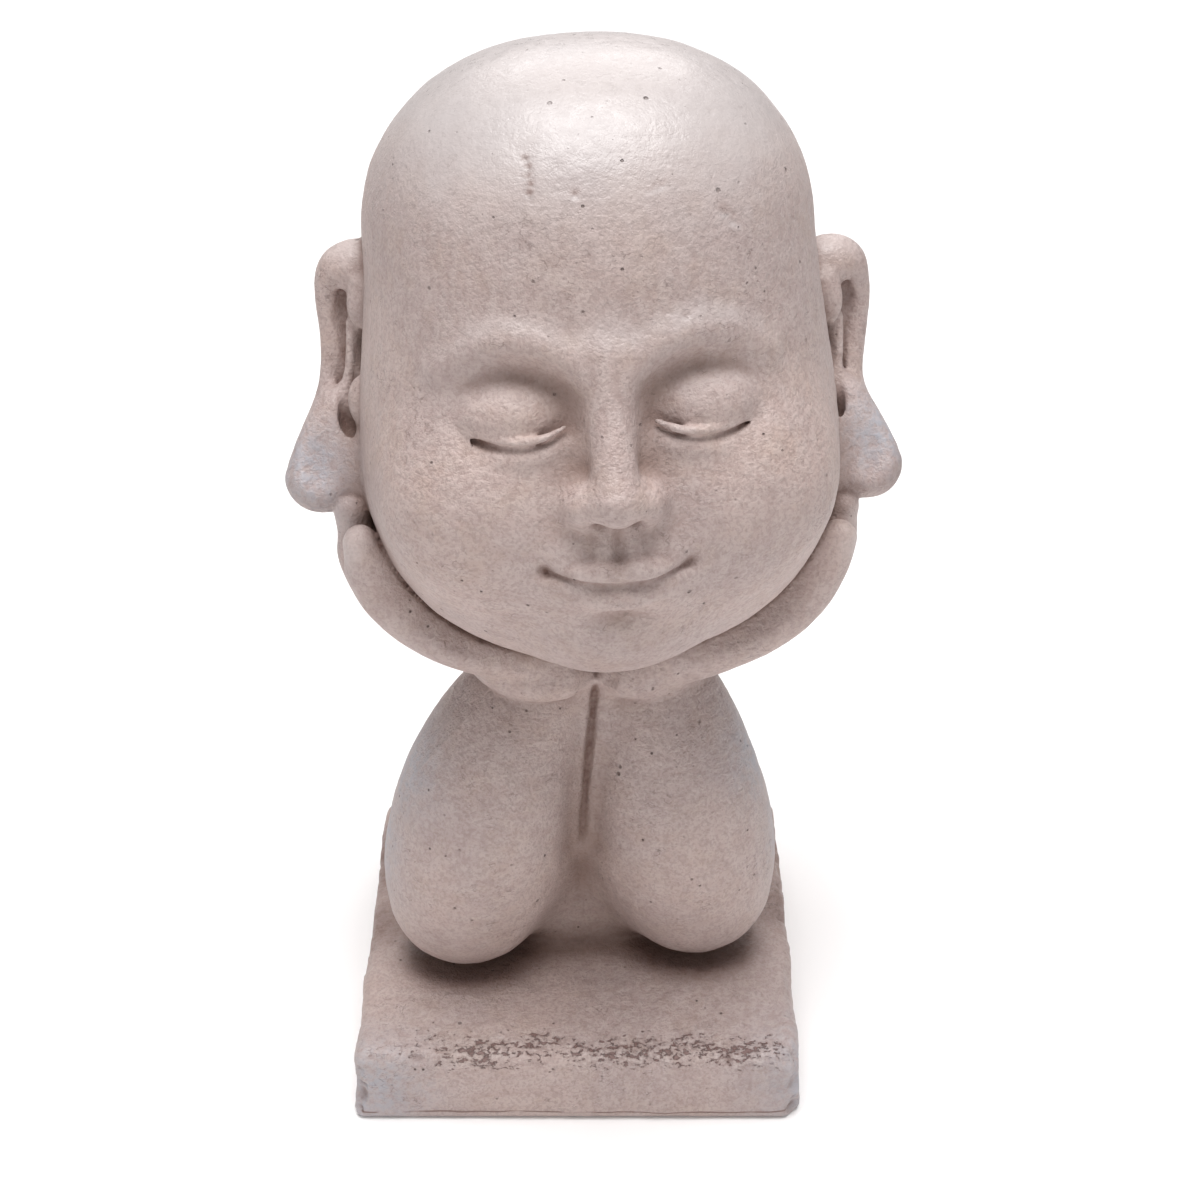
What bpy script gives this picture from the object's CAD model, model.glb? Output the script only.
# %% [markdown]
# # A cast-stone garden statue
# The real statue is one piece of cast stone: a bald, long-eared head that rests its jaw in two cupped hands, over
# forearms that stand on their elbows on a square plinth. A mould leaves every join rounded, so the whole figure is
# worked out here as one soft block: a grid of small cells, each of which holds its distance to the surface of the
# stone. Forms are merged into the grid and carved out of it with fillets, as clay is, and the surface is drawn
# through the cells where the distance is nothing.

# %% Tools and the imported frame
import math

import bpy
import numpy as np
import openvdb
from mathutils import Matrix, Vector


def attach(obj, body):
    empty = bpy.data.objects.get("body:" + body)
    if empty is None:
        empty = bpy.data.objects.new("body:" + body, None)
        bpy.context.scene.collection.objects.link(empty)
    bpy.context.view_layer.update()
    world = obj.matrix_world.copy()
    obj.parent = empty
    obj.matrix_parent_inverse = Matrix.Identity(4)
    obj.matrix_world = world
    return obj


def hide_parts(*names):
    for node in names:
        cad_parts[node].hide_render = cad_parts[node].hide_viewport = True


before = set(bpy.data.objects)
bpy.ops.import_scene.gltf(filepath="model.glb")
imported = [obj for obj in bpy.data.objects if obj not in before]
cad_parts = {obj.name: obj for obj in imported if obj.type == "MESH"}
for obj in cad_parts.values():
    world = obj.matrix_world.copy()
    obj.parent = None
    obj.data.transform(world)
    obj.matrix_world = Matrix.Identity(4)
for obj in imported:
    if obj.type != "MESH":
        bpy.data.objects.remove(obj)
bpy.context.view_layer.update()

# %% [markdown]
# The plinth stands square to the world, but the figure was set on it a few degrees askew. The clay grid lies in the
# figure's own frame, in millimetres, with its origin on the plinth's top, so that left and right forms mirror each
# other there. The finished mesh is turned into place at the end. The head has a frame of its own, tilted back.

# %% Frames of the figure and the head
PLINTH_TOP = 24.0
FIGURE_TURN = math.radians(4.5)
FIGURE_BACK = -5.0
HEAD_CENTRE = np.array([5.5, 10.0, 195.0])
HEAD_TILT = math.radians(18)
HEAD_ROLL = math.radians(2)

figure_turn = np.array(Matrix.Rotation(FIGURE_TURN, 3, "Z"))
head_turn = np.array(Matrix.Rotation(-HEAD_ROLL, 3, "Y") @ Matrix.Rotation(-HEAD_TILT, 3, "X"))


def to_statue(points):
    """Figure-frame points, mm, to the statue's frame."""
    return (points + [0, FIGURE_BACK, 0]) @ figure_turn.T + [0, 0, PLINTH_TOP]


def to_head(points):
    return (points - HEAD_CENTRE) @ head_turn


def from_head(points):
    return np.asarray(points, float) @ head_turn.T + HEAD_CENTRE


print("the head's centre in the statue's frame, mm:", to_statue(HEAD_CENTRE).round(1))

# %% [markdown]
# Cells of 0.8 mm are fine enough for a lip or an eyelid and coarse enough to fill the whole statue's box in seconds.
# Each form only touches the cells near it, so it is worked out in a window of the grid.

# %% The clay grid
CELL = 0.8
GRID_LOW = np.array([-94.0, -92.0, -27.0])
GRID_HIGH = np.array([98.0, 96.0, 288.0])
FAR = 12.0
grid_count = np.ceil((GRID_HIGH - GRID_LOW) / CELL).astype(int)
grid_axes = [(GRID_LOW[i] + CELL * np.arange(grid_count[i])).astype(np.float32) for i in range(3)]
clay = np.full(grid_count, FAR, np.float32)
print("cells:", clay.size)


def window(low, high, margin=8.0):
    """The slices of the grid round a box, and the coordinates of their cells."""
    slices = []
    for i in range(3):
        first = int(np.clip((low[i] - margin - GRID_LOW[i]) / CELL, 0, grid_count[i] - 1))
        last = int(np.clip((high[i] + margin - GRID_LOW[i]) / CELL + 2, 1, grid_count[i]))
        slices.append(slice(first, last))
    x, y, z = (grid_axes[i][slices[i]] for i in range(3))
    return tuple(slices), (x[:, None, None], y[None, :, None], z[None, None, :])


def soft_min(a, b, fillet):
    if fillet <= 0:
        return np.minimum(a, b)
    h = np.maximum(fillet - np.abs(a - b), 0) / fillet
    return np.minimum(a, b) - h * h * (fillet / 4)


def soft_max(a, b, fillet):
    return -soft_min(-a, -b, fillet)


def merge(slices, distance, fillet, block=clay):
    block[slices] = soft_min(block[slices], distance.astype(np.float32), fillet)


def carve(slices, distance, fillet, block=clay):
    block[slices] = soft_max(block[slices], -distance.astype(np.float32), fillet)


def tell_volume(step, block=clay):
    """Prints how much stone there is after a step."""
    print(f"stone after {step}, litres:", round(float((block < 0).sum()) * CELL**3 / 1e6, 4))


# %% Forms: a bent tapering roll and a ball squeezed on three axes
def roll_distance(cells, points, radii):
    """Distance to a chain of tapering rolls through some points."""
    x, y, z = cells
    best = None
    for a, b, ra, rb in zip(points[:-1], points[1:], radii[:-1], radii[1:]):
        a, b = np.asarray(a, np.float32), np.asarray(b, np.float32)
        ab = b - a
        t = ((x - a[0]) * ab[0] + (y - a[1]) * ab[1] + (z - a[2]) * ab[2]) / float(ab @ ab)
        t = np.clip(t, 0, 1)
        reach = np.sqrt((x - a[0] - t * ab[0]) ** 2 + (y - a[1] - t * ab[1]) ** 2 + (z - a[2] - t * ab[2]) ** 2)
        distance = reach - (ra + t * (rb - ra))
        best = distance if best is None else np.minimum(best, distance)
    return best


def ball_distance(cells, centre, half_sizes, turn=np.eye(3)):
    """Distance, nearly, to a ball squeezed along the columns of turn."""
    x, y, z = (cells[i] - centre[i] for i in range(3))
    local = [x * turn[0, i] + y * turn[1, i] + z * turn[2, i] for i in range(3)]
    k0 = np.sqrt(sum((p / s) ** 2 for p, s in zip(local, half_sizes)))
    k1 = np.sqrt(sum((p / (s * s)) ** 2 for p, s in zip(local, half_sizes)))
    return k0 * (k0 - 1) / np.maximum(k1, 1e-6)


def smoothed(points, steps=5):
    """More points on a soft curve through some points."""
    points = np.asarray(points, float)
    ends = np.vstack([2 * points[0] - points[1], points, 2 * points[-1] - points[-2]])
    curve = []
    for i in range(1, len(ends) - 2):
        p0, p1, p2, p3 = ends[i - 1 : i + 3]
        square = 2 * p0 - 5 * p1 + 4 * p2 - p3
        cube = 3 * p1 - p0 - 3 * p2 + p3
        for t in np.arange(steps) / steps:
            curve.append(0.5 * (2 * p1 + (p2 - p0) * t + square * t**2 + cube * t**3))
    curve.append(points[-1])
    return np.array(curve)


def add_roll(points, radii, fillet, cut=False, place=None, steps=5, block=clay):
    """Merges a bent roll into the clay, or cuts it out."""
    line = smoothed(np.column_stack([points, radii]), steps)
    points, radii = line[:, :3], line[:, 3]
    if place is not None:
        points = place(points)
    slices, cells = window(points.min(0) - radii.max(), points.max(0) + radii.max(), fillet + 3)
    (carve if cut else merge)(slices, roll_distance(cells, points, radii), fillet, block)


def add_ball(centre, half_sizes, fillet, turn=np.eye(3), cut=False, in_head=False):
    if in_head:
        centre, turn = from_head(centre), head_turn @ turn
    reach = max(half_sizes)
    centre = np.asarray(centre, float)
    slices, cells = window(centre - reach, centre + reach, fillet + 3)
    (carve if cut else merge)(slices, ball_distance(cells, centre, half_sizes, turn), fillet)


# %% [markdown]
# ## The head
# The skull is a rounded block, broad at the crown and full in the cheeks. It is drawn as a fine mesh of rings, each a
# boxy ellipse whose sizes follow the level, and the grid takes its distances from that mesh.

# %% The skull's outline
HALF_HEIGHT = 84.0
TEMPLE_LINE = 0.39 * HALF_HEIGHT
CHEEK_LINE = -0.3 * HALF_HEIGHT
FRONT_BOXINESS = 2.2
PLAN_BOXINESS = 2.35


def rise(start, stop, value):
    t = np.clip((value - start) / (stop - start), 0, 1)
    return t * t * (3 - 2 * t)


def closing(distance):
    return (1 - np.clip(distance, 0, 1) ** FRONT_BOXINESS) ** (1 / FRONT_BOXINESS)


def head_half_size(level, at_temples, at_cheeks):
    size = at_cheeks + (at_temples - at_cheeks) * rise(CHEEK_LINE, TEMPLE_LINE, level)
    top = closing((level - TEMPLE_LINE) / (HALF_HEIGHT - TEMPLE_LINE))
    foot = closing((CHEEK_LINE - level) / (HALF_HEIGHT + CHEEK_LINE))
    return size * top * foot


def skull_gauge(x, y, level):
    """How far out a point lies at its own level: 1 is on the skull."""
    width = head_half_size(level, 60.0, 65.0)
    front = head_half_size(level, 63.0, 57.0)
    back = head_half_size(level, 66.0, 46.0)
    depth = np.where(y < 0, front, back)
    total = np.abs(x / width) ** PLAN_BOXINESS + np.abs(y / depth) ** PLAN_BOXINESS
    return total ** (1 / PLAN_BOXINESS)


def skull_front(x, level):
    """The y of the skull's face side at a place on it, in the head's frame."""
    width = head_half_size(level, 60.0, 65.0)
    front = head_half_size(level, 63.0, 57.0)
    share = np.clip(1 - np.abs(x / width) ** PLAN_BOXINESS, 0, 1)
    return -front * share ** (1 / PLAN_BOXINESS)


def on_skull(direction):
    """The point of the skull in a direction from its centre, in the head's frame, found by halving."""
    direction = np.asarray(direction, float) / np.linalg.norm(direction)
    inside, outside = 0.0, min(130.0, 0.9999 * HALF_HEIGHT / max(abs(direction[2]), 1e-6))
    for _ in range(30):
        middle = (inside + outside) / 2
        if skull_gauge(*(direction * middle)) < 1:
            inside = middle
        else:
            outside = middle
    return direction * inside


def over_skull(direction, height):
    """The point at a height over the skull, for a direction in the figure's frame."""
    direction = np.asarray(direction, float) / np.linalg.norm(direction)
    return from_head(on_skull(direction @ head_turn)) + height * direction


# %% The skull's mesh and its distances
def skull_mesh(rings=220, meridians=300):
    polar = np.linspace(0, math.pi, rings + 1)[1:-1]
    around = np.linspace(0, 2 * math.pi, meridians, endpoint=False)
    level = HALF_HEIGHT * np.cos(polar)[:, None] + 0 * around
    x, y = np.sin(around) + 0 * level, -np.cos(around) + 0 * level
    reach = 1 / skull_gauge(x, y, level)
    points = np.stack([x * reach, y * reach, level], -1).reshape(-1, 3)
    points = np.vstack([points, [[0, 0, HALF_HEIGHT], [0, 0, -HALF_HEIGHT]]])
    quads, triangles = [], []
    rows = len(polar)
    i = np.arange(meridians)
    j = (i + 1) % meridians
    for row in range(rows - 1):
        a = row * meridians
        quads.append(np.column_stack([a + i, a + meridians + i, a + meridians + j, a + j]))
    top, foot = len(points) - 2, len(points) - 1
    last = (rows - 1) * meridians
    triangles.append(np.column_stack([0 * i + top, i, j]))
    triangles.append(np.column_stack([last + i, 0 * i + foot, last + j]))
    return points, np.vstack(quads), np.vstack(triangles)


skull_points, skull_quads, skull_triangles = skull_mesh()
skull_grid = openvdb.FloatGrid.createLevelSetFromPolygons(
    (from_head(skull_points) - GRID_LOW).astype(np.float32),
    triangles=skull_triangles.astype(np.uint32),
    quads=skull_quads.astype(np.uint32),
    transform=openvdb.createLinearTransform(CELL),
    halfWidth=FAR / CELL,
)
skull_grid.copyToArray(clay)
tell_volume("the skull")

# %% [markdown]
# ## The face
# The face is a plain design of its own, laid out by the canon that drawing books give for a young head: seen from
# the front the head is five eyes wide, the eyes lie a little under half-way up, the nose ends at three tenths and the
# mouth at a fifth of the height above the chin. The lids are closed and the lips rest together. Each feature is a
# soft form: a ball or a bent roll, merged into the skull or pressed into it.

# %% Where the features lie
HEAD_HEIGHT = 2 * HALF_HEIGHT
CHIN = -HALF_HEIGHT
BROW_LINE = CHIN + 0.55 * HEAD_HEIGHT
EYE_LINE = CHIN + 0.455 * HEAD_HEIGHT
NOSE_LINE = CHIN + 0.29 * HEAD_HEIGHT
MOUTH_LINE = CHIN + 0.195 * HEAD_HEIGHT
CHIN_LINE = CHIN + 0.075 * HEAD_HEIGHT
EYE_WIDTH = 24.0


def on_face(x, level, height=0.0):
    """A point over the skull's face side, in the head's frame."""
    return np.array([x, float(skull_front(x, level)) - height, level])


def face_line(points):
    """Points given as x, level and height over the skull."""
    return np.array([on_face(*point) for point in points])


levels = (BROW_LINE, EYE_LINE, NOSE_LINE, MOUTH_LINE, CHIN_LINE)
print("levels of the brow, eyes, nose, mouth and chin, mm:", [round(level, 1) for level in levels])

# %% Cheeks, brow and sockets
for side in (-1, 1):
    add_ball(on_face(side * 33, NOSE_LINE + 5, -17), (24, 20, 24), 14, in_head=True)
    add_ball(on_face(side * EYE_WIDTH, EYE_LINE + 2, 9), (17, 12.5, 11), 9, cut=True, in_head=True)
    brow = [
        (side * 8, BROW_LINE - 3, -1.5),
        (side * 17, BROW_LINE + 2.5, -1.2),
        (side * 29, BROW_LINE + 3, -1.5),
        (side * 41, BROW_LINE - 4, -2.5),
    ]
    add_roll(face_line(brow), [2.6, 3.0, 2.8, 2.0], 6, place=from_head)
tell_volume("the brow")

# %% Closed eyes
for side in (-1, 1):
    add_ball(on_face(side * EYE_WIDTH, EYE_LINE, -7.5), (14.5, 10.5, 10), 2.5, in_head=True)
    slit = [
        (side * 11.5, EYE_LINE - 4.2, 0.6),
        (side * 17, EYE_LINE - 6.6, 2.6),
        (side * EYE_WIDTH, EYE_LINE - 7.4, 3.2),
        (side * 31, EYE_LINE - 6.2, 2.0),
        (side * 37.5, EYE_LINE - 3.2, -0.4),
    ]
    lower_lid = [(x, level - 3.0, height - 2.2) for x, level, height in slit]
    add_roll(face_line(lower_lid), [0.8, 1.4, 1.7, 1.4, 0.8], 4.0, place=from_head)
    lash = [(x, level + 1.2, height - 0.7) for x, level, height in slit]
    add_roll(face_line(lash), [0.7, 1.2, 1.4, 1.2, 0.7], 1.6, place=from_head)
    groove = [(x, level - 0.9, height + 0.3) for x, level, height in slit]
    add_roll(face_line(groove), [0.6, 1.0, 1.1, 1.0, 0.5], 1.0, cut=True, place=from_head)
tell_volume("the eyes")

# %% Nose
nose = [(0, BROW_LINE - 2, -2.2), (0, EYE_LINE, 2.0), (0, NOSE_LINE + 13, 6.2), (0, NOSE_LINE + 6.5, 8.0)]
add_roll(face_line(nose), [5.2, 4.8, 5.6, 6.6], 8, place=from_head)
for side in (-1, 1):
    add_ball(on_face(side * 7.8, NOSE_LINE + 4.6, 2.4), (4.8, 6.2, 4.8), 6.0, in_head=True)
    add_ball(on_face(side * 4.6, NOSE_LINE - 0.4, 7.2), (2.4, 3.6, 1.8), 1.4, cut=True, in_head=True)
tell_volume("the nose")

# %% Mouth and chin
add_ball(on_face(0, MOUTH_LINE + 3, -13), (23, 18.5, 17), 9, in_head=True)
for side in (-1, 1):
    philtrum_side = [(side * 2.8, NOSE_LINE - 2, 3.4), (side * 3.8, MOUTH_LINE + 6, 4.2)]
    add_roll(face_line(philtrum_side), [1.0, 1.2], 3.0, place=from_head)
    upper = [
        (side * 1.2, MOUTH_LINE + 3.2, 5.8),
        (side * 4.5, MOUTH_LINE + 3.8, 5.8),
        (side * 10, MOUTH_LINE + 3.2, 4.2),
        (side * 16.5, MOUTH_LINE + 3.4, -0.4),
    ]
    add_roll(face_line(upper), [2.7, 3.2, 2.5, 1.2], 1.2, place=from_head)
    corner = on_face(side * 18.8, MOUTH_LINE + 3.4, 3.0)
    add_ball(corner, (1.4, 1.8, 1.4), 3.5, cut=True, in_head=True)
lower = [(-13, MOUTH_LINE - 1.2, 1.8), (-6, MOUTH_LINE - 4, 4.6), (0, MOUTH_LINE - 4.4, 5.2)]
lower = lower + [(-x, level, height) for x, level, height in lower[1::-1]]
add_roll(face_line(lower), [1.8, 3.6, 4.1, 3.6, 1.8], 1.4, place=from_head)
parting = [(-18, MOUTH_LINE + 2.9, 1.4), (-9, MOUTH_LINE + 0.3, 6.8), (0, MOUTH_LINE - 0.6, 9.0)]
parting = parting + [(-x, level, height) for x, level, height in parting[1::-1]]
add_roll(face_line(parting), [0.7, 1.1, 1.3, 1.1, 0.7], 1.3, cut=True, place=from_head)
add_ball(on_face(0, CHIN_LINE + 2, -11), (19, 15.5, 11), 12, in_head=True)
add_ball(on_face(0, MOUTH_LINE - 11, 8.0), (10, 4, 2.6), 5, cut=True, in_head=True)
tell_volume("the mouth and chin")

# %% [markdown]
# ## The ears
# Each ear is a long plate that stands off the head and faces forward, with a rolled rim over the top and down the
# outside, a narrow deep groove inside the rim, a low ridge, a hollow, a small flap in front of the hollow, and a
# heavy lobe that flares outward to the finger tips. The cuts come after the forms that they cut into.

# %% Ears
EAR_RISE = {-1: 2.5, 1: -4.0}
EAR_LEAN = math.radians(38)
for side in (-1, 1):
    outward = np.array([side * math.cos(EAR_LEAN), math.sin(EAR_LEAN), 0])
    facing = np.array([side * math.sin(EAR_LEAN), -math.cos(EAR_LEAN), 0])
    ear_turn = np.column_stack([outward, facing, [0, 0, 1]])

    def in_ear(points):
        placed = np.asarray(points, float) * [side, 1, 1] + [0, 0, EAR_RISE[side]]
        placed[..., 0] += -1.2 + 2.8 * rise(-18, 8, placed[..., 2])
        return placed

    def ear(points):
        return from_head(in_ear(points))

    def ear_ball(centre, half_sizes, fillet, cut=False, turn=ear_turn):
        add_ball(in_ear(centre), half_sizes, fillet, turn, cut, in_head=True)

    ear_ball((66.5, 11, 2), (9.5, 4.4, 26), 3)
    rim = [(59, 7, 21), (64, 7.5, 23.5), (69, 9, 22.5), (72, 11, 16), (72.8, 12, 6), (73, 11.5, -6), (73.2, 9, -19)]
    add_roll(rim, [6.6, 7.4, 6.0, 4.2, 3.0, 2.9, 3.6], 2.0, place=ear)
    add_roll([(61.0, 3.5, 18), (63.4, 3.2, 12), (62.6, 4, 6)], [5.8, 3.8, 1.4], 1.6, place=ear)
    add_roll([(67.0, 6.2, 9), (67.3, 5.8, 1), (67.6, 5.4, -8)], [1.0, 1.3, 1.5], 1.6, place=ear)
    add_roll([(70.5, 5.5, -14), (74, 5.5, -24), (76.4, 5, -33.5)], [5.2, 7.4, 9.2], 5, place=ear)
    ear_ball((68, 6.5, -30), (12, 6.5, 13), 6)
    ear_ball((74.0, -5.4, -27), (6.0, 3.6, 9.0), 4, cut=True)
    groove = [(68.6, 6.4, 17), (69.2, 7.6, 12), (69.4, 8.4, 4), (69.8, 8.4, -8)]
    add_roll(groove, [1.4, 2.1, 1.5, 0.8], 0.8, True, ear)
    ear_ball((62.8, 4.0, 0.5), (3.2, 5.2, 7.0), 1.4, cut=True)
    notch = [(64.5, 1.5, -3), (67.6, 1.5, -8), (68.2, 1.0, -13), (66.8, 1.2, -18.5), (64.2, 0.5, -22.5)]
    add_roll(notch, [1.4, 1.1, 1.2, 2.2, 1.6], 0.8, True, ear)
    ear_ball((62.4, -1.0, -12), (4.6, 4.8, 7.2), 0.8, turn=np.eye(3))
tell_volume("the ears")

# %% [markdown]
# ## The hands
# The palms wrap the jaw like the two halves of a bowl, and share one outer curve: a squeezed ball cut to the width of
# a hand, with a groove where the two heels meet. The fingers lie against the cheeks with their tips under the lobes,
# the little finger in front. The thumbs lie behind the jaw.

# %% Palms
PALM_MIDDLE = np.array([5.5, 4.0, 145.0])
PALM_HALF_SIZES = (72.5, 66.0)
PALM_TOP = 149.0
HEEL_FOOT = 99.5
HANDS_PART = 4.2


def round_the_jaw(side, swing, lean):
    """A direction from the head's centre: down, swung out to a side and leaned back, in degrees."""
    swing, lean = math.radians(swing), math.radians(lean)
    out = side * math.sin(swing) * math.cos(lean)
    return np.array([out, math.sin(lean), -math.cos(swing) * math.cos(lean)])


hands = np.full(grid_count, FAR, np.float32)
slices, cells = window((-74, -26, 78), (84, 30, 156))
x, y, z = cells
across = np.abs(x - PALM_MIDDLE[0])
for side, depth in ((-1, 45.2), (1, 50.0)):
    bowl = ball_distance(cells, PALM_MIDDLE, (*PALM_HALF_SIZES, depth))
    slab = soft_max(bowl, np.abs(y - 1.5) - (23.0 - 0.05 * across) + 0 * bowl, 10)
    slab = soft_max(slab, z - PALM_TOP + 0.15 * (y + 20) + 0 * bowl, 8)
    slab = soft_max(slab, HEEL_FOOT - z + 0 * bowl, 6)
    half = soft_max(slab, 0.1 - side * (x - HANDS_PART) + 0 * slab, 4)
    merge(slices, half, 0.8, hands)
tell_volume("the palms", hands)

# %% Fingers and thumbs
FINGER_TIPS = (53.5, 56.5, 59.5, 62.0)
FINGER_LEANS = (-16.5, -8.5, 0.0, 9.5)
HAND_REACH = {-1: 2.8, 1: 0.6}
HAND_SLIM = {-1: np.array([1, 1.4, 1.4, 1.2, 0.8, 0.3, 0, 0]), 1: 0}
fingers = np.full(grid_count, FAR, np.float32)
for side in (-1, 1):
    for tip, lean in zip(FINGER_TIPS, FINGER_LEANS):
        swings = np.linspace(14, tip + HAND_REACH[side], 8)
        heights = np.array([3.0, 4.5, 6.0, 7.0, 7.6, 7.6, 6.8, 5.6]) - HAND_SLIM[side]
        points = [over_skull(round_the_jaw(side, swing, lean), height) for swing, height in zip(swings, heights)]
        add_roll(points, [6.0, 6.6, 7.0, 6.9, 6.4, 5.9, 5.2, 4.9], 1.4, block=fingers)
    thumb = [over_skull(round_the_jaw(side, 14 + 13 * step, 25 + 3 * step), 6) for step in range(4)]
    add_roll(thumb, [9.5, 9.0, 8.2, 7.0], 3.0, block=fingers)
hand_slices, hand_cells = window((-90, -40, 70), (96, 60, 190))
merge(hand_slices, fingers[hand_slices], 5, hands)
for side in (-1, 1):
    for lean in (-12.5, -4.2, 4.8):
        swings = np.linspace(36, 60 + HAND_REACH[side], 6)
        parting = [over_skull(round_the_jaw(side, swing, lean), 26.0 - 0.28 * swing) for swing in swings]
        add_roll(parting, [0.3, 0.8, 1.1, 1.3, 1.4, 1.4], 2.0, cut=True, block=hands)
tell_volume("the fingers", hands)

# %% The hollow beside the jaw, and the hands joined to the head
# Towards the front the hands keep clear of the jaw by JAW_GAP, and further back they run into it.
JAW_GAP = 1.3
clear_of_jaw = np.clip(0.2 * (-14.5 - hand_cells[1]), -3, JAW_GAP)
hands[hand_slices] = soft_max(hands[hand_slices], clear_of_jaw - clay[hand_slices], 0.8)
hollow = [over_skull(round_the_jaw(1, swing, -22.5), 3.4) for swing in range(-54, 55, 9)]
add_roll(hollow, np.full(len(hollow), 2.0), 5, cut=True, steps=3, block=hands)
merge(hand_slices, hands[hand_slices], 0.8)
tell_volume("the hands")

# %% [markdown]
# ## The forearms
# Each forearm is a soft teardrop, thickest a little above the elbow. The two press together along the middle, and a
# thin fillet leaves the groove between them. A web of stone joins them behind.

# %% Forearms and web
ELBOW_RADIUS, WRIST_RADIUS = 28.8, 15.2
arm_shares = np.linspace(0, 1, 9)
arm_swell = ELBOW_RADIUS - (ELBOW_RADIUS - WRIST_RADIUS) * arm_shares**2.4
arm_radii = arm_swell - 4.8 * (1 - arm_shares) ** 8
arm_out = arm_swell - 0.8 + 6.5 * (1 - arm_shares) ** 3
arm_up = 24.3 + (98 - 24.3) * arm_shares
arms = []
arm_slices, arm_cells = window((-66, -42, -4), (72, 34, 118), 6)
for side in (-1, 1):
    line = np.column_stack([side * arm_out + 5.5 * arm_shares**3, 5 * (arm_shares - 1), arm_up])
    line = smoothed(np.column_stack([line, arm_radii]), 3)
    arms.append(roll_distance(arm_cells, line[:, :3], line[:, 3]))
both_arms = soft_min(arms[0], arms[1], 2.0)
merge(arm_slices, both_arms, 5)
between = [(-0.3, -3, 37), (0.2, -7.5, 47), (1.0, -9, 62), (2.4, -9.5, 76), (3.6, -9.5, 90), (4.2, -9.5, 104)]
add_roll(between, [3.0, 5.5, 6.5, 6.8, 6.8, 6.8], 4)
tell_volume("the forearms")

# %% Web behind the forearms
slices, cells = window((-17, -7, -4), (17, 25, 118), 12)
x, y, z = cells
web = soft_max(np.abs(x - 1) - 17, np.abs(y - 6) - 13, 12) + 0 * z
web = np.maximum(web, np.abs(z - 56) - 60)
merge(slices, web, 12)
tell_volume("the web")

# %% Heels of the hands
add_roll([(-29, -5, 107), (-21, -12.5, 105.5), (-10, -16, 105.5), (0, -17, 107)], [4.5, 5.5, 6.0, 5.0], 2.5)
add_roll([(9, -16.5, 106), (20, -13.5, 105), (31, -5, 106.5)], [5.5, 6, 4.5], 3.5)
tell_volume("the heels")


# %% The groove between the hands and the forearms
def front_of(x, z, block):
    """The y where a block starts behind a place seen from the front."""
    i, k = (int(round((value - GRID_LOW[axis]) / CELL)) for axis, value in ((0, x), (2, z)))
    column = block[i, :, k]
    j = int(np.argmax(column < 0))
    share = column[j - 1] / (column[j - 1] - column[j])
    return float(GRID_LOW[1] + CELL * (j - 1 + share))


def on_front(places, depth):
    """Points a little way behind the front of the forearms, or of the hands higher up."""
    return [(x, front_of(x, z, hands if z > 106 else clay) + depth, z) for x, z in places]


groove_levels = np.arange(121.0, 44.0, -2.0)
groove_x = np.interp(
    groove_levels, [45, 54, 64, 74, 84, 94, 104, 112, 121], [0, 0.3, 0.8, 1.5, 2.4, 3.3, 3.9, 4.2, 4.5]
)
groove = list(zip(groove_x, groove_levels))
valley_depth = np.interp(groove_levels, [45, 60, 92, 104, 121], [0.4, 0.8, 1.2, 1.8, 2.4])
line = on_front(groove, 0)
VALLEY_RADIUS, LINE_RADIUS = 6.0, 1.1
valley = [(x, y + depth - VALLEY_RADIUS, z) for (x, y, z), depth in zip(line, valley_depth)]
line = [(x, y + depth + 0.8, z) for (x, y, z), depth in zip(line, valley_depth)]
add_roll(valley, np.full(len(valley), VALLEY_RADIUS), 3.0, cut=True, steps=2)
add_roll(line, np.append(np.full(len(line) - 3, LINE_RADIUS), [1.0, 0.8, 0.5]), 0.9, cut=True, steps=2)
print("the groove runs down from", groove_levels[0], "to", groove_levels[-1], "mm over the plinth")

# %% A mould seam on one forearm
seam = on_front([(-29.6, 95), (-35.5, 88.5), (-41.5, 81), (-47.5, 72), (-52, 64)], 0.1)
add_roll(seam, [0.2, 0.5, 0.6, 0.5, 0.2], 0.8)
print("points of the mould seam:", len(seam))

# %% [markdown]
# ## The plinth
# A low slab, square to the world, that spreads a little towards its foot. Its edges are worn round, most along the
# front, where the top edge has crumbled.

# %% Plinth
slices, cells = window((-80, -80, -27), (80, 80, 2), 4)
x, y, z = cells
cos, sin = math.cos(FIGURE_TURN), math.sin(FIGURE_TURN)
plinth_x = x * cos - (y + FIGURE_BACK) * sin
plinth_y = x * sin + (y + FIGURE_BACK) * cos
spread = 1.5 * (-z / PLINTH_TOP)
WEAR = 3.0
dx = np.abs(plinth_x) - (65 + spread - WEAR)
dy = np.abs(plinth_y) - (62 + spread - WEAR)
dz = np.abs(z + PLINTH_TOP / 2) - (PLINTH_TOP / 2 - WEAR)
outside = np.sqrt(np.maximum(dx, 0) ** 2 + np.maximum(dy, 0) ** 2 + np.maximum(dz, 0) ** 2)
plinth = outside + np.minimum(np.maximum(np.maximum(dx, dy), dz), 0) - WEAR
merge(slices, plinth, 3.0)
tell_volume("the plinth")

# %% [markdown]
# ## Wear cut into the clay
# The real casting carries pits where air was trapped against the mould, short scratches, and chips along the plinth's
# edges. The larger of these are cut into the clay, so that they are there in the mesh too. Their places come from a
# seeded draw over the surface, so that every run gives the same stone.

# %% Surface helpers
def surface_points(block):
    """Points and quads of the surface, in the figure's frame, mm."""
    grid = openvdb.FloatGrid(FAR)
    grid.copyFromArray(np.clip(block, -3 * CELL, 3 * CELL))
    grid.transform = openvdb.createLinearTransform(CELL)
    points, quads = grid.convertToQuads(0.0)
    return points.astype(float) + GRID_LOW, quads


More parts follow.
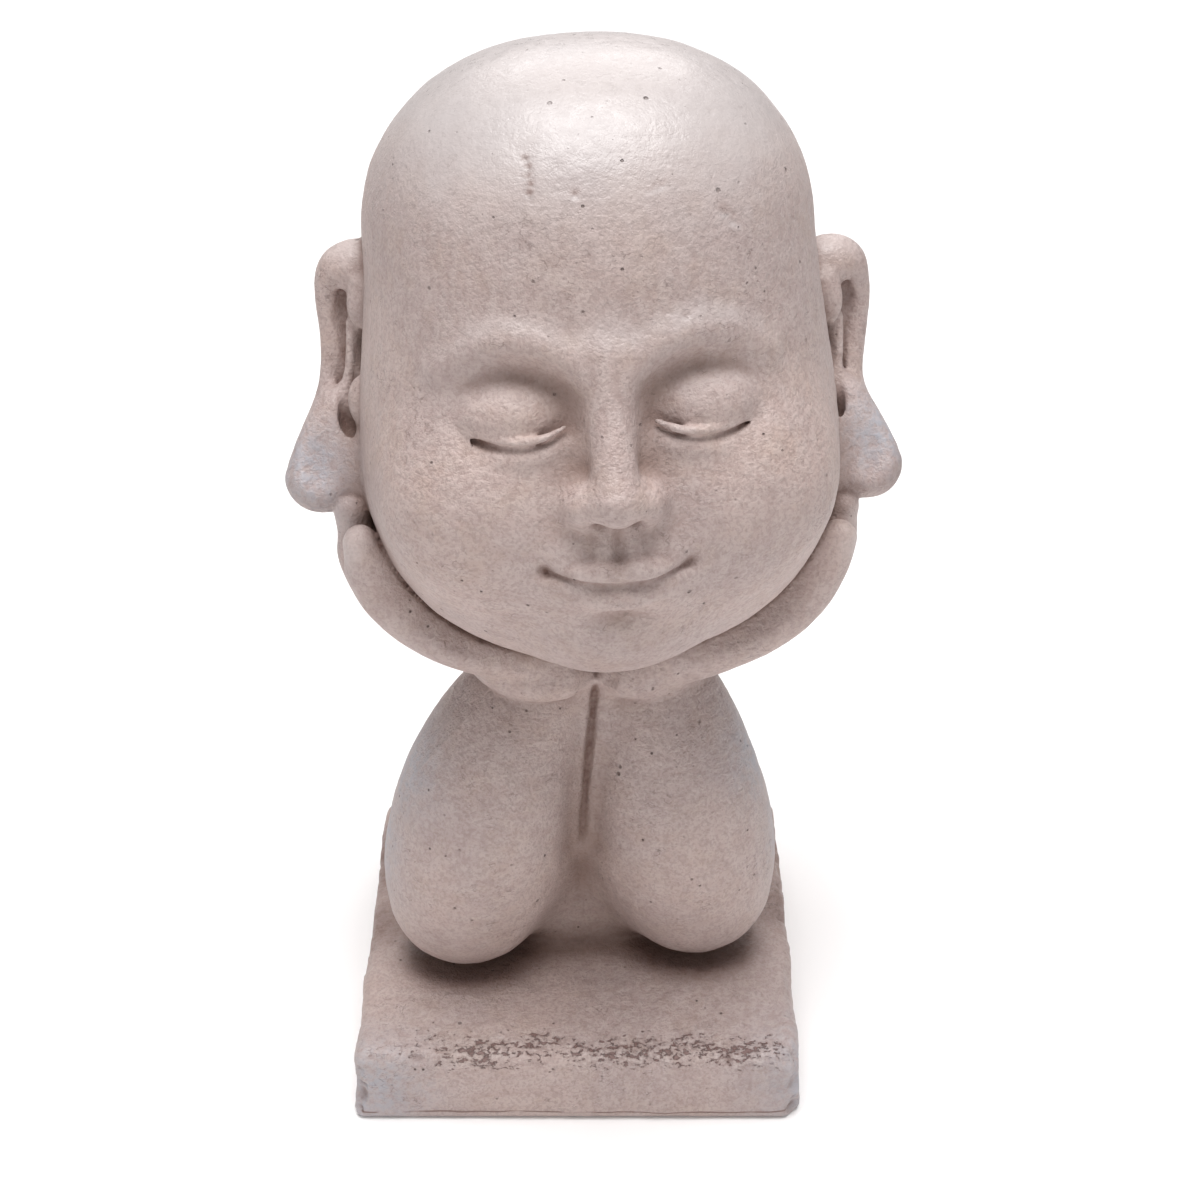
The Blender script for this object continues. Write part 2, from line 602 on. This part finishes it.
def add_dent(centre, half_sizes):
    """A small hole with a slightly softened lip."""
    add_ball(centre, half_sizes, 0.6, cut=True)


# %% Pits and scratches
draw = np.random.default_rng(11)
skin, _ = surface_points(clay)
picks = skin[draw.choice(len(skin), 110, replace=False)]
for place in picks:
    size = draw.uniform(0.4, 0.8)
    add_dent(place, (size, size, size * draw.uniform(0.7, 1.2)))
forehead_pits = []
for step in range(5):
    pit = (-0.239 + 0.007 * (step % 2), -0.45 - 0.022 * step, 0.85 - 0.013 * step)
    forehead_pits.append(over_skull(pit, 0))
    add_dent(forehead_pits[-1], (0.6, 0.7, 0.8))
for place in skin[draw.choice(len(skin), 70, replace=False)]:
    along = draw.normal(size=3) * [1, 1, 0.3]
    along = along / np.linalg.norm(along) * draw.uniform(1.2, 3.2)
    add_roll([place - along, place, place + along], [0.15, 0.4, 0.15], 0.5, cut=True, steps=2)
add_dent(over_skull((0.49, -0.757, -0.432), 0), (0.9, 0.9, 0.9))
for dx, dz in ((0, 0), (0.02, 0.012), (0.045, -0.004), (0.06, -0.03), (0.03, -0.03)):
    start, end = (over_skull((0.36 + dx + 0.012 * k, -0.548, 0.75 + dz - 0.02 * k), 0.1) for k in (0, 1))
    add_roll([start, end], [0.4, 0.7], 0.6, cut=True, steps=2)
print("surface points to draw places from:", len(skin))

# %% Chips along the plinth's edges
def on_plinth_place(x, y, z):
    """A place given square to the plinth, in the figure's frame."""
    return np.array([x, y, z]) @ np.array(Matrix.Rotation(FIGURE_TURN, 3, "Z")) - [0, FIGURE_BACK, 0]


for _ in range(90):
    side, end = draw.choice([-1, 1], 2)
    size = draw.uniform(0.6, 2.0)
    kind = draw.integers(3)
    if kind == 0:
        place = (side * 65.0, end * 62.0, draw.uniform(-22, -2))
    elif kind == 1:
        place = (side * 65.2, draw.uniform(-60, 60), draw.normal(-0.4, 0.5))
    else:
        place = (draw.uniform(-62, 62), end * 62.2, draw.normal(-0.4, 0.5))
    half_sizes = size * draw.uniform(0.8, 2.2, 3)
    add_ball(on_plinth_place(*place), np.minimum(half_sizes, 3.0), 1.5, cut=True)
seam = [on_plinth_place(x, -63.9, -22.2 + draw.normal(0, 0.2)) for x in range(-58, 61, 9)]
add_roll(seam, draw.uniform(0.2, 0.5, len(seam)), 0.5, cut=True, steps=3)
tell_volume("the wear")

# %% [markdown]
# ## From clay to mesh
# The surface is drawn through the cells and turned into the statue's frame. A mould that was cut by hand is never
# quite even, so the points are moved a few tenths of a millimetre by soft noise, most on the plinth. Then the mesh is
# thinned: flat places give up their points first, and lips, lids and pits keep theirs.

# %% Soft noise
def corner_weights(t):
    """The eight corners of a cell, each with its weight at places t in the cell."""
    for corner in np.ndindex(2, 2, 2):
        yield corner, np.prod(np.where(corner, t, 1 - t), axis=1)


def soft_noise(points, size, seed):
    """Smooth noise from -1 to 1 with features of about a size."""
    lattice = np.random.default_rng(seed).uniform(-1, 1, (64, 64, 64))
    place = np.asarray(points) / size + 1000
    low = np.floor(place).astype(int)
    t = place - low
    t = t * t * (3 - 2 * t)
    total = np.zeros(len(place))
    for corner, weight in corner_weights(t):
        index = (low + corner) % 64
        total += weight * lattice[index[:, 0], index[:, 1], index[:, 2]]
    return total


def crumbling(points):
    """How crumbled the stone is, 0 to 1: a ragged band along the plinth's front edge."""
    square = (np.asarray(points) + [0, FIGURE_BACK, 0]) @ figure_turn.T
    ragged = 2.6 * soft_noise(square, 9, 9) + 1.3 * soft_noise(square, 3.5, 10)
    from_edge = np.hypot((square[:, 1] + 58.5 + ragged) / 8.0, (square[:, 2] + 0.8) / 6.0)
    ends = rise(-62, -30, square[:, 0]) * rise(70, 54, square[:, 0])
    return rise(1.35, 0.2, from_edge) * (0.25 + 0.75 * ends)


# %% The statue's mesh
def new_mesh(name, points, faces):
    mesh = bpy.data.meshes.new(name)
    mesh.from_pydata(points.tolist(), [], faces.tolist())
    mesh.update()
    return mesh


def coordinates(mesh):
    points = np.empty(3 * len(mesh.vertices), np.float32)
    mesh.vertices.foreach_get("co", points)
    return points.reshape(-1, 3).astype(float)


def largest_surface(points, quads):
    """The largest closed surface alone, without the bubbles that cuts may leave inside the stone."""
    label, before = np.arange(len(points)), None
    while before is None or (label != before).any():
        before = label
        label = before.copy()
        np.minimum.at(label, quads.ravel(), np.repeat(before[quads].min(1), 4))
        label = label[label]
    kept = label == np.bincount(label).argmax()
    return points[kept], (np.cumsum(kept) - 1)[quads[kept[quads[:, 0]]]]


all_points, all_quads = surface_points(clay)
points, quads = largest_surface(all_points, all_quads)
print("quads in bubbles that were left out:", len(all_quads) - len(quads))
fine_mesh = new_mesh("fine_statue", points, quads)
normals = np.empty(3 * len(points), np.float32)
fine_mesh.vertex_normals.foreach_get("vector", normals)
normals = normals.reshape(-1, 3).astype(float)
on_plinth = rise(4, -1, points[:, 2])
uneven = 0.30 * soft_noise(points, 22, 1) + 0.14 * soft_noise(points, 7, 2) + 0.07 * soft_noise(points, 2.6, 3)
rough = 0.8 * soft_noise(points, 16, 4) + 0.2 * soft_noise(points, 4.5, 5) + 0.12 * soft_noise(points, 2.2, 6)
crumbs = np.abs(soft_noise(points, 3.2, 7)) + 0.7 * np.abs(soft_noise(points, 1.7, 8))
foot = rise(-PLINTH_TOP + 1.5, -PLINTH_TOP + 4, points[:, 2])
lift = uneven + rough * on_plinth - 0.9 * crumbs * crumbling(points)
points = points + normals * (lift * foot)[:, None]
print("quads before thinning:", len(quads))

# %% Thinning
TRIANGLES = 196000
fine_mesh.vertices.foreach_set("co", (to_statue(points) / 1000).astype(np.float32).ravel())
fine_mesh.update()
statue = bpy.data.objects.new("statue", fine_mesh)
bpy.context.scene.collection.objects.link(statue)
if 2 * len(quads) > TRIANGLES:
    thinner = statue.modifiers.new("thinner", "DECIMATE")
    thinner.ratio = TRIANGLES / (2 * len(quads))
    statue.data = bpy.data.meshes.new_from_object(statue.evaluated_get(bpy.context.evaluated_depsgraph_get()))
    statue.modifiers.clear()
mesh = statue.data
mesh.name = "statue"
mesh.polygons.foreach_set("use_smooth", np.ones(len(mesh.polygons), bool))
print("faces of the statue:", len(mesh.polygons))

# %% [markdown]
# ## Where dirt and wear lie
# Dirt gathers in hollows and rain washes the raised places pale. How hollow the stone is at a point is the share of
# stone in a small cube round it: a half on a flat place, more in a crease and less on an edge. It is worked out from
# the clay at two sizes and kept as an attribute of the mesh's points, which the material reads.

# %% Hollows and edges
def cube_mean(field, reach):
    """The mean of a field over a cube of cells round each cell."""
    for axis in range(3):
        padding = [(0, 0)] * 3
        padding[axis] = (reach + 1, reach)
        total = np.cumsum(np.pad(field, padding, mode="edge"), axis, dtype=np.float64)
        count = field.shape[axis]
        high = np.take(total, range(2 * reach + 1, 2 * reach + 1 + count), axis)
        low = np.take(total, range(count), axis)
        field = ((high - low) / (2 * reach + 1)).astype(np.float32)
    return field


def read_field(field, points, step):
    """The values of a field at some points of the figure's frame."""
    place = np.clip((points - GRID_LOW) / (CELL * step), 0, np.array(field.shape) - 1.001)
    low = place.astype(int)
    t = place - low
    total = np.zeros(len(points))
    for corner, weight in corner_weights(t):
        total += weight * field[tuple((low + corner).T)]
    return total


in_figure = (coordinates(mesh) * 1000 - [0, 0, PLINTH_TOP]) @ figure_turn - [0, FIGURE_BACK, 0]
outward = np.empty(3 * len(in_figure), np.float32)
mesh.vertex_normals.foreach_get("vector", outward)
outward = outward.reshape(-1, 3) @ figure_turn
# The points are first put back on the clay's own surface, so that its unevenness does not count as a hollow.
settled = in_figure - outward * read_field(clay, in_figure, 1)[:, None]
stone_share = np.clip(0.5 - clay[::2, ::2, ::2] / (4 * CELL), 0, 1)
close_share = read_field(cube_mean(stone_share, round(2.4 / (2 * CELL))), settled, 2)
wide_share = read_field(cube_mean(stone_share, round(9.6 / (2 * CELL))), settled, 2)
marks = {
    "crease": np.clip((close_share - 0.53) / 0.15, 0, 1),
    "hollow": np.clip((wide_share - 0.52) / 0.25, 0, 1),
    "raised": np.clip((0.46 - close_share) / 0.16, 0, 1),
}
print("share of stone round the points, least and most:", close_share.min().round(2), close_share.max().round(2))

# %% [markdown]
# Damp left a bluish-grey bloom on the lobes, on the outer sides of the forearms and on the plinth's corners. Brown
# dirt is caked on the tips of the fingers, under the elbows, where no rain reaches, and in the pits of the forehead.
# Each of these is a soft ball of influence round a place. Rain has washed the crown, and the finger tips are worn
# pale.

# %% Bloom and caked dirt
def influence(places):
    """How near the points are to any of some places, each with a reach in mm, from 0 to 1."""
    total = np.zeros(len(in_figure))
    for place, reach in places:
        total = np.maximum(total, np.exp(-(((in_figure - place) / reach) ** 2).sum(1)))
    return total


blooms, cakes = [], []
for side in (-1, 1):
    blooms.append((from_head((side * 78, 2, -28)), 13))
    blooms.append((np.array([side * 54, -6, 72]), 16))
    blooms.append((np.array([side * 60, -2, 44]), 16))
    blooms.append((np.array([side * 67, -58, -12]), 18))
    cakes.append((from_head((side * 82, 4, -42)), 7))
    for lean in (-13, -5):
        cakes.append((over_skull(round_the_jaw(side, 60 + HAND_REACH[side], lean), 6), 5))
    for turn in range(-90, 91, 15):
        turn = math.radians(turn)
        cakes.append((np.array([side * 34.5 + 16.5 * math.sin(turn), -5 - 16.5 * math.cos(turn), 0]), 6.0))
    cakes.append((np.array([side * 60, 8, 0]), 12))
    cakes.append((np.array([side * 58, 40, 0]), 20))
cakes += [(place, 1.0) for place in forehead_pits]

washed = rise(0.1, 0.9, outward[:, 2]) * rise(200, 245, in_figure[:, 2])
tips = []
for side in (-1, 1):
    for tip, lean in zip(FINGER_TIPS[:2], FINGER_LEANS):
        tips.append((over_skull(round_the_jaw(side, tip + HAND_REACH[side], lean), 8), 4.5))
marks["washed"] = washed
marks["tips"] = influence(tips)
marks["bloom"] = influence(blooms)
marks["crumble"] = crumbling(in_figure)
marks["cake"] = influence(cakes)
for name, values in marks.items():
    mesh.attributes.new(name, "FLOAT", "POINT").data.foreach_set("value", values.astype(np.float32))
    print(name, "is over a half on", round(100 * float((values > 0.5).mean()), 1), "% of the points")

# %% [markdown]
# ## The cast stone
# Cement casts have a chalky skin. Its colour drifts between a warm pinkish grey and a cooler grey, a brush has left
# fine streaks, the raised places are pale, creases hold brown dirt, and pinholes dot it all over. The parts of the
# look that change over the surface are made by five node groups; the material mixes their masks into one shader.

# %% Node helpers
def paint(red, green, blue):
    """A colour given as on a screen, 0 to 255, in the linear values that nodes take."""
    values = [v / 255 for v in (red, green, blue)]
    return [v / 12.92 if v <= 0.04045 else ((v + 0.055) / 1.055) ** 2.4 for v in values] + [1]


def add_node(tree, kind, links=None, settings=None, **values):
    """A node with some values and links on its inputs, by name or number."""
    made = tree.nodes.new(kind)
    for name, value in (settings or {}).items():
        setattr(made, name, value)
    for name, value in values.items():
        made.inputs[name].default_value = value
    for name, source in (links or {}).items():
        tree.links.new(source, made.inputs[name])
    return made


def math_node(tree, operation, *terms):
    """A Math node whose terms are numbers or sockets."""
    made = tree.nodes.new("ShaderNodeMath")
    made.operation = operation
    for socket, term in zip(made.inputs, terms):
        if isinstance(term, (int, float)):
            socket.default_value = term
        else:
            tree.links.new(term, socket)
    return made.outputs[0]


def ramp(tree, value, low, high):
    """A mask that goes from 0 at low to 1 at high."""
    made = tree.nodes.new("ShaderNodeMapRange")
    made.interpolation_type = "SMOOTHSTEP"
    made.inputs["From Min"].default_value = low
    made.inputs["From Max"].default_value = high
    tree.links.new(value, made.inputs["Value"])
    return made.outputs["Result"]


def noise(tree, place, scale, detail=3.0, roughness=0.55):
    settings = {"Scale": scale, "Detail": detail, "Roughness": roughness}
    return add_node(tree, "ShaderNodeTexNoise", {"Vector": place}, **settings).outputs["Fac"]


def stretched(tree, place, scale, turn=(0, 0, 0)):
    """Coordinates turned and stretched, for marks that run one way."""
    made = add_node(tree, "ShaderNodeMapping", {"Vector": place}, None, Scale=scale, Rotation=turn)
    return made.outputs["Vector"]


def new_group(name, inputs, outputs):
    tree = bpy.data.node_groups.new(name, "ShaderNodeTree")
    for title, value in inputs.items():
        tree.interface.new_socket(title, in_out="INPUT", socket_type="NodeSocketFloat").default_value = value
    for title in outputs:
        tree.interface.new_socket(title, in_out="OUTPUT", socket_type="NodeSocketFloat")
    start, end = tree.nodes.new("NodeGroupInput"), tree.nodes.new("NodeGroupOutput")
    place = tree.nodes.new("ShaderNodeTexCoord").outputs["Object"]
    return tree, start.outputs, end.inputs, place


def use_group(tree, group, links=None, **values):
    return add_node(tree, "ShaderNodeGroup", links, {"node_tree": group}, **values).outputs


# %% Group: mottle, the drift of colour and the brush streaks
masks = ("Broad", "Patches", "Fine", "Grain", "Streaks")
mottle, given, out, place = new_group("mottle", {"Streak Strength": 1.0}, masks)
tree = mottle
tree.links.new(ramp(tree, noise(tree, place, 1000, 1, 0.6), 0.35, 0.65), out["Grain"])
tree.links.new(ramp(tree, noise(tree, place, 22, 2, 0.6), 0.35, 0.65), out["Broad"])
tree.links.new(ramp(tree, noise(tree, place, 95, 3, 0.7), 0.45, 0.68), out["Patches"])
tree.links.new(ramp(tree, noise(tree, place, 330, 3, 0.75), 0.32, 0.68), out["Fine"])
brushed = noise(tree, stretched(tree, place, (330, 330, 110), (0.35, 0.15, 0.2)), 1.0, 3, 0.65)
crossed = noise(tree, stretched(tree, place, (120, 300, 330), (0.1, 0.45, 0.3)), 1.0, 3, 0.65)
blend = ramp(tree, noise(tree, place, 14, 1), 0.42, 0.58)
brushed = math_node(tree, "MULTIPLY", brushed, blend)
crossed = math_node(tree, "MULTIPLY", crossed, math_node(tree, "SUBTRACT", 1.0, blend))
mixed = math_node(tree, "ADD", brushed, crossed)
tree.links.new(math_node(tree, "MULTIPLY", ramp(tree, mixed, 0.35, 0.65), given["Streak Strength"]), out["Streaks"])

# %% Group: pinholes, small round holes of two sizes
pinholes, given, out, place = new_group("pinholes", {"Spread": 0.5}, ("Holes",))
tree = pinholes
holes = []
for scale, reach in ((170, 0.10), (420, 0.16)):
    cells_node = add_node(tree, "ShaderNodeTexVoronoi", {"Vector": place}, None, Scale=scale, Randomness=1.0)
    dot = math_node(tree, "SUBTRACT", 1.0, ramp(tree, cells_node.outputs["Distance"], reach * 0.5, reach * 1.3))
    split = add_node(tree, "ShaderNodeSeparateColor", {"Color": cells_node.outputs["Color"]})
    chosen = math_node(tree, "LESS_THAN", split.outputs[0], given["Spread"])
    dot = math_node(tree, "MULTIPLY", dot, split.outputs[1])
    holes.append(math_node(tree, "MULTIPLY", dot, chosen))
tree.links.new(math_node(tree, "MAXIMUM", *holes), out["Holes"])

# %% Group: cracks, thin broken lines that run mostly level and come in patches
cracks, given, out, place = new_group("cracks", {"Scale": 300.0, "Cover": 0.5, "Level": 2.0}, ("Lines",))
tree = cracks
bent = add_node(tree, "ShaderNodeTexNoise", {"Vector": place}, None, Scale=380.0, Detail=2.0, Roughness=0.7)
shift = add_node(tree, "ShaderNodeVectorMath", {0: bent.outputs["Color"]}, {"operation": "SCALE"}, Scale=0.0026)
moved = add_node(tree, "ShaderNodeVectorMath", {0: place, 1: shift.outputs[0]}, {"operation": "ADD"})
flat = add_node(tree, "ShaderNodeCombineXYZ", {"Z": given["Level"]}, None, X=1.0, Y=1.0)
flat = add_node(tree, "ShaderNodeVectorMath", {0: moved.outputs[0], 1: flat.outputs[0]}, {"operation": "MULTIPLY"})
links = {"Vector": flat.outputs[0], "Scale": given["Scale"]}
net = add_node(tree, "ShaderNodeTexVoronoi", links, {"feature": "DISTANCE_TO_EDGE"})
line = math_node(tree, "SUBTRACT", 1.0, ramp(tree, net.outputs["Distance"], 0.01, 0.07))
broken = ramp(tree, noise(tree, place, 520, 1, 0.5), 0.47, 0.56)
patches = math_node(tree, "ADD", noise(tree, place, 57, 3, 0.75), math_node(tree, "SUBTRACT", given["Cover"], 0.5))
patches = ramp(tree, patches, 0.52, 0.64)
line = math_node(tree, "MULTIPLY", math_node(tree, "MULTIPLY", line, broken), patches)
tree.links.new(line, out["Lines"])

# %% Group: crumble, ragged gaps and pale crumbs, denser where the stone has crumbled more
crumbling_stone, given, out, place = new_group("crumble", {"How Far": 0.0, "Scale": 620.0}, ("Gaps", "Crumbs"))
tree = crumbling_stone
flat = stretched(tree, place, (0.7, 1, 1.5))
links = {"Vector": flat, "Scale": given["Scale"]}
gaps = add_node(tree, "ShaderNodeTexNoise", links, Detail=4.0, Roughness=0.66)
sound = math_node(tree, "MULTIPLY", math_node(tree, "SUBTRACT", 1.0, given["How Far"]), 0.2)
level = math_node(tree, "ADD", gaps.outputs["Fac"], sound)
tree.links.new(ramp(tree, level, 0.488, 0.42), out["Gaps"])
crumbs = math_node(tree, "MULTIPLY", ramp(tree, gaps.outputs["Fac"], 0.53, 0.66), given["How Far"])
tree.links.new(crumbs, out["Crumbs"])

# %% Group: flash line, the wavy dark line that the mould's foot left along the front
flash_line, given, out, place = new_group("flash_line", {"Height": 0.0022}, ("Line",))
tree = flash_line
where = add_node(tree, "ShaderNodeSeparateXYZ", {"Vector": place})
wave = math_node(tree, "MULTIPLY", math_node(tree, "SUBTRACT", noise(tree, place, 45, 2, 0.6), 0.5), 0.004)
away = math_node(tree, "SUBTRACT", math_node(tree, "ADD", where.outputs["Z"], wave), given["Height"])
line = math_node(tree, "SUBTRACT", 1.0, ramp(tree, math_node(tree, "ABSOLUTE", away), 0.00005, 0.0005))
in_front = ramp(tree, where.outputs["Y"], -0.0615, -0.0625)
worn = ramp(tree, noise(tree, place, 90, 1), 0.4, 0.5)
line = math_node(tree, "MULTIPLY", math_node(tree, "MULTIPLY", line, in_front), worn)
tree.links.new(line, out["Line"])

# %% The material of the statue
WARM_GREY = paint(184, 163, 157)
COOL_GREY = paint(171, 153, 150)
PALE_SKIN = paint(214, 203, 199)
BLOOM_BLUE = paint(166, 167, 175)
DIRT_BROWN = paint(110, 83, 74)
HOLE_DARK = paint(84, 66, 60)
MAUVE_BROWN = paint(120, 91, 86)
OCHRE = paint(176, 151, 133)
FINE_DARK = paint(142, 121, 115)
HOLLOW_BROWN = paint(140, 116, 106)
WASHED_WHITE = paint(176, 173, 173)

stone = bpy.data.materials.new("cast_stone")
stone.use_nodes = True
tree = stone.node_tree
shader = tree.nodes["Principled BSDF"]


def mark(name):
    return add_node(tree, "ShaderNodeAttribute", settings={"attribute_name": name}).outputs["Fac"]


def over(below, colour, mask):
    """A colour laid over another through a mask."""
    made = tree.nodes.new("ShaderNodeMix")
    made.data_type = "RGBA"
    tree.links.new(mask, made.inputs[0])
    if isinstance(below, list):
        made.inputs[6].default_value = below
    else:
        tree.links.new(below, made.inputs[6])
    made.inputs[7].default_value = colour
    return made.outputs[2]


drift = use_group(tree, mottle, **{"Streak Strength": 1.0})
dots = use_group(tree, pinholes, Spread=0.09)
crazing = use_group(tree, cracks, Scale=280.0, Cover=0.5, Level=3.2)
flash = use_group(tree, flash_line, Height=0.0034)
names = ("crease", "hollow", "raised", "bloom", "cake", "crumble", "washed", "tips")
crease, hollow, raised, bloom, cake, crumble, washed, tip = (mark(name) for name in names)


def times(*terms):
    total = terms[0]
    for term in terms[1:]:
        total = math_node(tree, "MULTIPLY", total, term)
    return total


broken_edge = use_group(tree, crumbling_stone, {"How Far": crumble})
unwashed = math_node(tree, "SUBTRACT", 1.0, times(washed, 0.7))
lines = times(crazing["Lines"], unwashed)

colour = over(WARM_GREY, COOL_GREY, times(drift["Broad"], 0.75))
colour = over(colour, OCHRE, times(drift["Patches"], unwashed, 0.2))
colour = over(colour, PALE_SKIN, times(drift["Streaks"], unwashed, 0.2))
colour = over(colour, FINE_DARK, times(ramp(tree, drift["Grain"], 0.6, 0.0), unwashed, 0.3))
colour = over(colour, FINE_DARK, times(ramp(tree, drift["Fine"], 0.5, 0.0), unwashed, 0.26))
colour = over(colour, WASHED_WHITE, times(washed, 0.7))
colour = over(colour, PALE_SKIN, times(raised, drift["Fine"], 0.3))
colour = over(colour, PALE_SKIN, times(tip, 0.6))
colour = over(colour, BLOOM_BLUE, times(bloom, math_node(tree, "ADD", 0.25, times(drift["Fine"], 0.7))))
colour = over(colour, HOLLOW_BROWN, times(hollow, 0.95))
colour = over(colour, DIRT_BROWN, times(crease, math_node(tree, "ADD", 0.5, times(drift["Fine"], 0.5))))
colour = over(colour, DIRT_BROWN, times(cake, math_node(tree, "ADD", 0.45, times(drift["Fine"], 0.35))))
colour = over(colour, PALE_SKIN, times(broken_edge["Crumbs"], 0.35))
colour = over(colour, MAUVE_BROWN, times(broken_edge["Gaps"], 0.8))
colour = over(colour, DIRT_BROWN, times(flash["Line"], 0.85))
colour = over(colour, HOLE_DARK, times(lines, 0.45))
colour = over(colour, HOLE_DARK, times(dots["Holes"], 0.85))
tree.links.new(colour, shader.inputs["Base Color"])

dry = math_node(tree, "SUBTRACT", math_node(tree, "ADD", 0.44, times(drift["Fine"], 0.18)), times(washed, 0.18))
tree.links.new(math_node(tree, "ADD", dry, times(crease, 0.2)), shader.inputs["Roughness"])

height = times(math_node(tree, "ADD", times(drift["Fine"], 0.4), times(drift["Grain"], 0.14)), unwashed)
height = math_node(tree, "SUBTRACT", height, times(dots["Holes"], 1.2))
height = math_node(tree, "SUBTRACT", height, times(broken_edge["Gaps"], 0.9))
bump = add_node(tree, "ShaderNodeBump", {"Height": height}, None, Strength=1.0, Distance=0.0005)
tree.links.new(bump.outputs["Normal"], shader.inputs["Normal"])

mesh.materials.append(stone)
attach(statue, "root")
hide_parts("cast_statue")
print("nodes in the material:", len(tree.nodes))

# %% [markdown]
# ## Floor, lights and camera
# A pale paper floor runs out of the picture, a large soft box hangs over the statue and a little in front of it, and
# weak lamps fill the sides and the front. The camera looks down at 32 degrees.

# %% Floor
bpy.ops.mesh.primitive_plane_add(size=6)
floor = bpy.context.object
floor.name = "floor"
paper = bpy.data.materials.new("pale_floor")
paper.use_nodes = True
paper_shader = paper.node_tree.nodes["Principled BSDF"]
paper_shader.inputs["Base Color"].default_value = (0.93, 0.92, 0.92, 1)
paper_shader.inputs["Roughness"].default_value = 0.9
paper_shader.inputs["Emission Color"].default_value = (1, 0.99, 0.985, 1)
paper_shader.inputs["Emission Strength"].default_value = 0.06
floor.data.materials.append(paper)


# %% Lights
def add_lamp(name, place, target, size, watts, colour):
    lamp = bpy.data.lights.new(name, "AREA")
    lamp.size, lamp.energy, lamp.color = size, watts, colour
    lamp_object = bpy.data.objects.new(name, lamp)
    lamp_object.location = place
    lamp_object.rotation_euler = (Vector(target) - Vector(place)).to_track_quat("-Z", "Y").to_euler()
    bpy.context.scene.collection.objects.link(lamp_object)


add_lamp("top_softbox", (0.0, -0.12, 1.4), (0, 0, 0.15), 0.9, 22.5, (1, 0.99, 0.985))
add_lamp("left_fill", (-1.0, -0.2, 0.7), (0, 0, 0.15), 0.9, 1.3, (0.93, 0.96, 1))
add_lamp("right_fill", (1.0, -0.2, 0.7), (0, 0, 0.15), 0.9, 1.3, (0.93, 0.96, 1))
add_lamp("front_fill", (0, -1.0, 0.15), (0, 0, 0), 0.5, 1.6, (1, 0.99, 0.98))
add_lamp("floor_wash", (0, 1.5, 1.2), (0, 1.1, 0), 1.2, 12, (1, 1, 1))
sky = bpy.data.worlds.new("studio")
bpy.context.scene.world = sky
sky.use_nodes = True
sky.node_tree.nodes["Background"].inputs["Color"].default_value = (1, 1, 1, 1)
sky.node_tree.nodes["Background"].inputs["Strength"].default_value = 0.2

# The picture keeps the colours as they are lit, without a film curve.
bpy.context.scene.view_settings.view_transform = "Standard"

# %% Camera
camera_data = bpy.data.cameras.new("camera")
camera_data.sensor_width = 36
camera_data.lens = 36 * 2256 / 1200
camera = bpy.data.objects.new("camera", camera_data)
camera.location = (0.0067, -0.5497, 0.486)
camera.rotation_euler = (math.radians(90 - 32), 0, 0)
bpy.context.scene.collection.objects.link(camera)
bpy.context.scene.camera = camera
